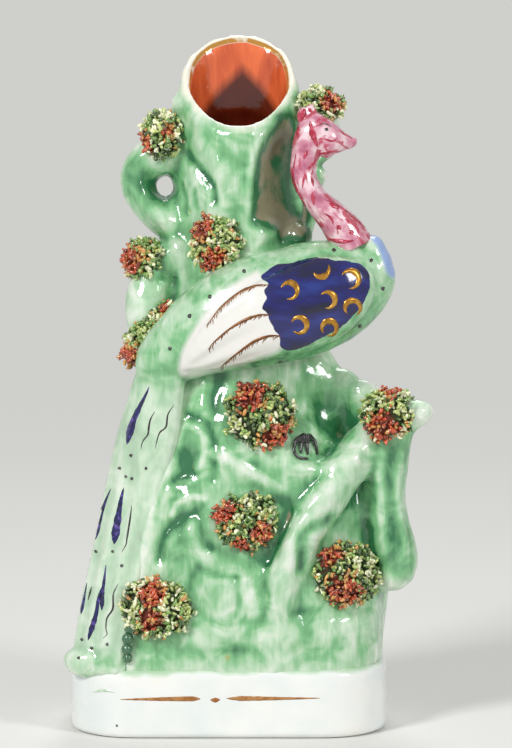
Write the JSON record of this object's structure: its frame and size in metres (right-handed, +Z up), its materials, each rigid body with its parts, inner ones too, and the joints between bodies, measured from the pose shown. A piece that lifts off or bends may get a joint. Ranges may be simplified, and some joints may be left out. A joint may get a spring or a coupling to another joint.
{
  "type": "spill vase",
  "caption": "Glazed earthenware spill vase: hollow tree trunk with an obliquely cut mouth, a peacock perched in front, tufts of shredded-clay foliage and an oblong plinth.",
  "frame": {"origin": "centre of the plinth on the plane of its foot", "axes": "+Z up; +X to the viewer's right, the way the bird faces; +Y to the back"},
  "size_m": [0.1114, 0.0631, 0.211],
  "materials": {
    "white_glaze": "glossy white lead glaze",
    "green_glaze": "glossy green wash over white, darker in the hollows",
    "bird_green": "glossy pale green over white",
    "wing_blue": "glossy cobalt blue and white with gilt lines",
    "neck_pink": "glossy pink with crimson brush strokes",
    "claw_black": "glossy black",
    "leaf_tuft": "glossy dark green, yellow green and red shreds",
    "red_lining": "glossy orange red inside the mouth",
    "biscuit": "bare fired clay"
  },
  "bodies": {
    "root": {"plinth": "white_glaze", "base_slab": "biscuit", "tree_front": "green_glaze", "tree_back": "green_glaze", "well_floor": "red_lining", "left_loop_limb": "green_glaze", "left_stump": "green_glaze", "right_stub": "green_glaze", "back_limb": "green_glaze", "right_limb": "green_glaze", "root_limb": "green_glaze", "bud": "green_glaze", "peacock_body": "bird_green", "peacock_wing": "wing_blue", "peacock_neck": "neck_pink", "peacock_crest": "neck_pink", "peacock_tail": "bird_green", "peacock_foot": "claw_black", "tuft_top_left": "leaf_tuft", "tuft_left_upper": "leaf_tuft", "tuft_left_lower": "leaf_tuft", "tuft_trunk_front": "leaf_tuft", "tuft_behind_head": "leaf_tuft", "tuft_centre": "leaf_tuft", "tuft_right": "leaf_tuft", "tuft_hollow": "leaf_tuft", "tuft_right_lower": "leaf_tuft", "tuft_left_foot": "leaf_tuft"}
  },
  "joints": []
}
